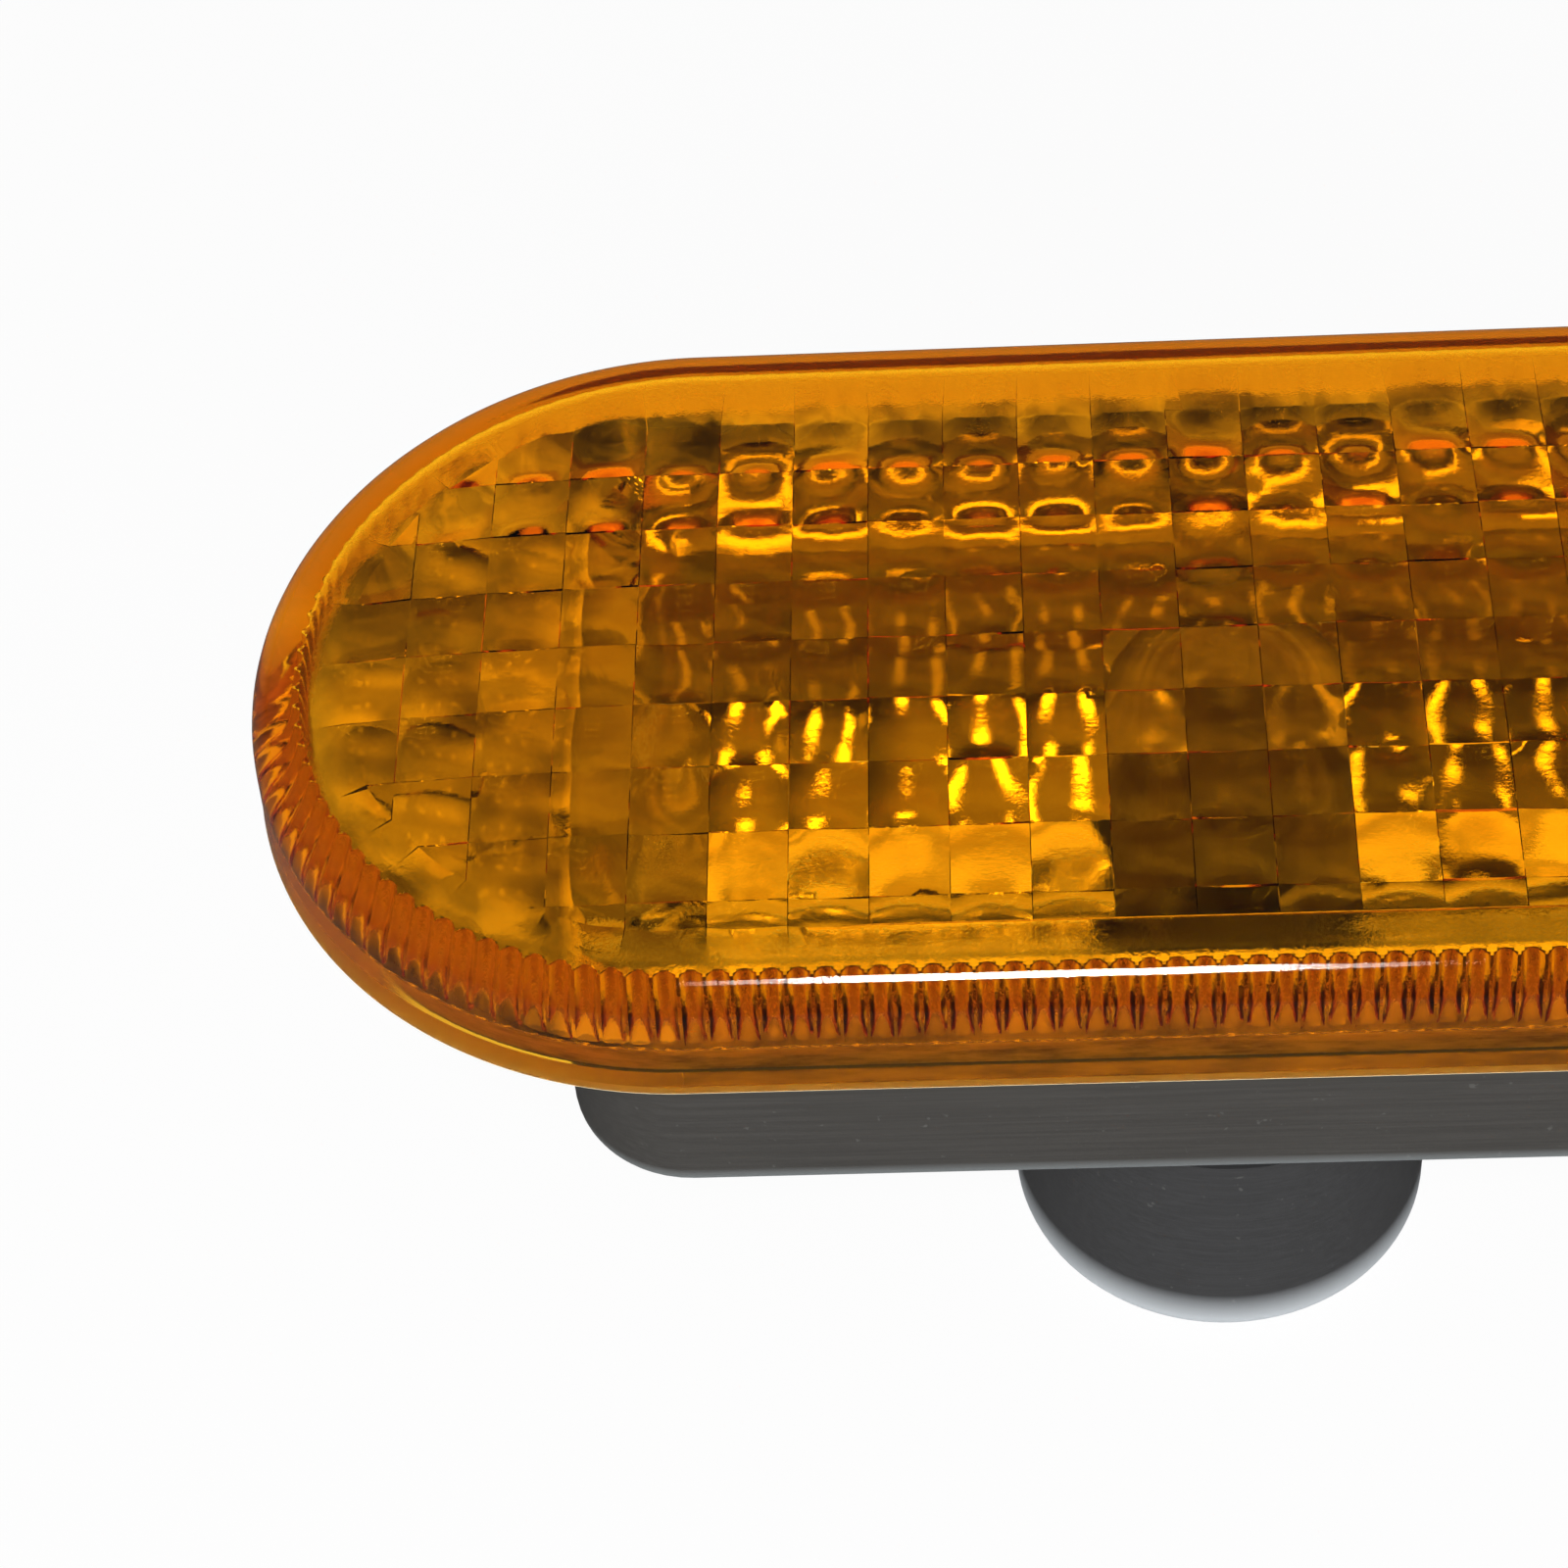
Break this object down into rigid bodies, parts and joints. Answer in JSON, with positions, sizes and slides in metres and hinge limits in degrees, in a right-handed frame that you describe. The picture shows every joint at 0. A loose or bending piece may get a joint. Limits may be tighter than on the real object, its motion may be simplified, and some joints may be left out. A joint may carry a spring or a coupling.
{
  "type": "side repeater lamp",
  "caption": "Oval amber side repeater lamp: pillow-optic lens welded to a dark tub housing, with a reflector, wedge bulb and round plug-in bulb holder behind the wing.",
  "frame": {"origin": "centre of the flat back of the housing flange, the face that seats on the wing, on the lens's long and short centre lines", "axes": "+Z out of the lens, away from the wing; +X along the lamp's length, towards the fixed hook; Y across the lamp"},
  "size_m": [0.07, 0.0316, 0.0335],
  "materials": {
    "amber_plastic": "clear amber moulding, polished outside, pillow optics inside",
    "dark_plastic": "satin moulded plastic with fine scratches",
    "mirror_coat": "vacuum-metallised mirror on plastic",
    "holder_plastic": "satin moulded plastic",
    "seal_rubber": "smooth moulded rubber",
    "clear_glass": "clear blown glass",
    "coil_wire": "drawn wire",
    "lead_wire": "plated wire",
    "contact_brass": "stamped spring brass"
  },
  "bodies": {
    "root": {"lens": "amber_plastic", "housing": "dark_plastic", "reflector": "mirror_coat", "bulb_holder": "holder_plastic", "holder_seal": "seal_rubber", "bulb_glass": "clear_glass", "bulb_filament": "coil_wire", "bulb_lead_left": "lead_wire", "bulb_lead_right": "lead_wire", "terminal_left": "contact_brass", "terminal_right": "contact_brass"}
  },
  "joints": []
}
